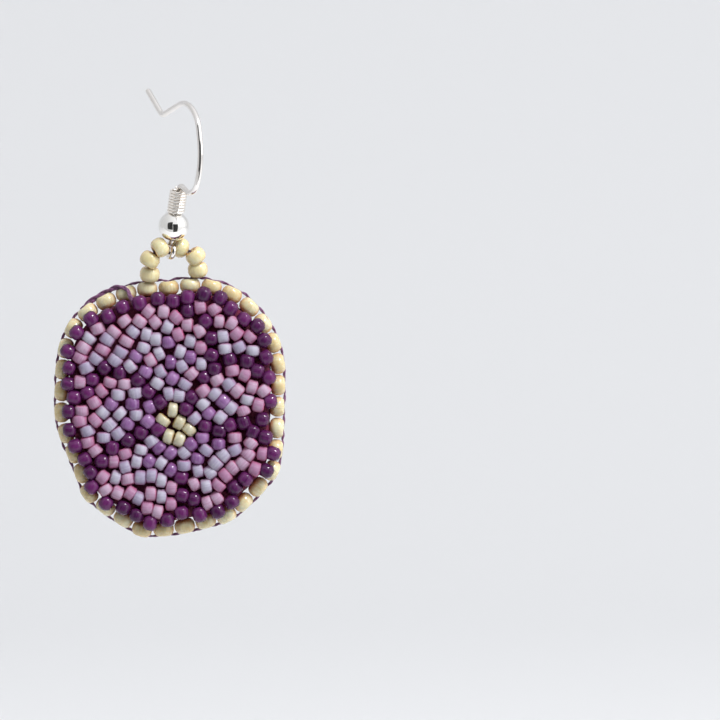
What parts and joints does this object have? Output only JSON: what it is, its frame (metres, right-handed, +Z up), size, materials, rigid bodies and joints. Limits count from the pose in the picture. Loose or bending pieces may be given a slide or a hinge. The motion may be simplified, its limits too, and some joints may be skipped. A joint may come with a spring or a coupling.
{
  "type": "beaded drop earring",
  "caption": "Bead-embroidered flower patch hanging from a silver ear wire by a short loop of cream glass beads.",
  "frame": {"origin": "the spot under the low bend of the ear wire's rear leg, where the earring rests when it hangs", "axes": "+Z up, the flower faces -Y, +X to the right as seen from in front"},
  "size_m": [0.0243, 0.0107, 0.0471],
  "materials": {
    "silver_wire": "polished silver, slightly worn",
    "silver_coil": "polished silver, darker between the turns",
    "silver_ball": "polished silver",
    "cream_beads": "opaque cream glass, semi-gloss",
    "petal_beads": "opaque glass seed beads in pink, lavender and purple",
    "thread": "twisted sewing thread",
    "backing_cloth": "matt felted backing"
  },
  "bodies": {
    "ear_wire": {"ear_hook": "silver_wire", "hook_coil": "silver_coil", "hook_ball": "silver_ball"},
    "drop": {"loop_bead_1": "cream_beads", "loop_bead_2": "cream_beads", "loop_bead_3": "cream_beads", "loop_bead_4": "cream_beads", "loop_bead_5": "cream_beads", "loop_bead_6": "cream_beads", "loop_thread": "thread", "edge_beads": "cream_beads", "bead_field": "petal_beads", "backing": "backing_cloth"}
  },
  "joints": [
    {"name": "drop_swing", "type": "hinge", "parent": "ear_wire", "child": "drop", "pos_m": [0.00073, -0.00126, -0.01414], "axis": [0.866, 0.5, 0], "range_deg": [-80, 80]}
  ]
}
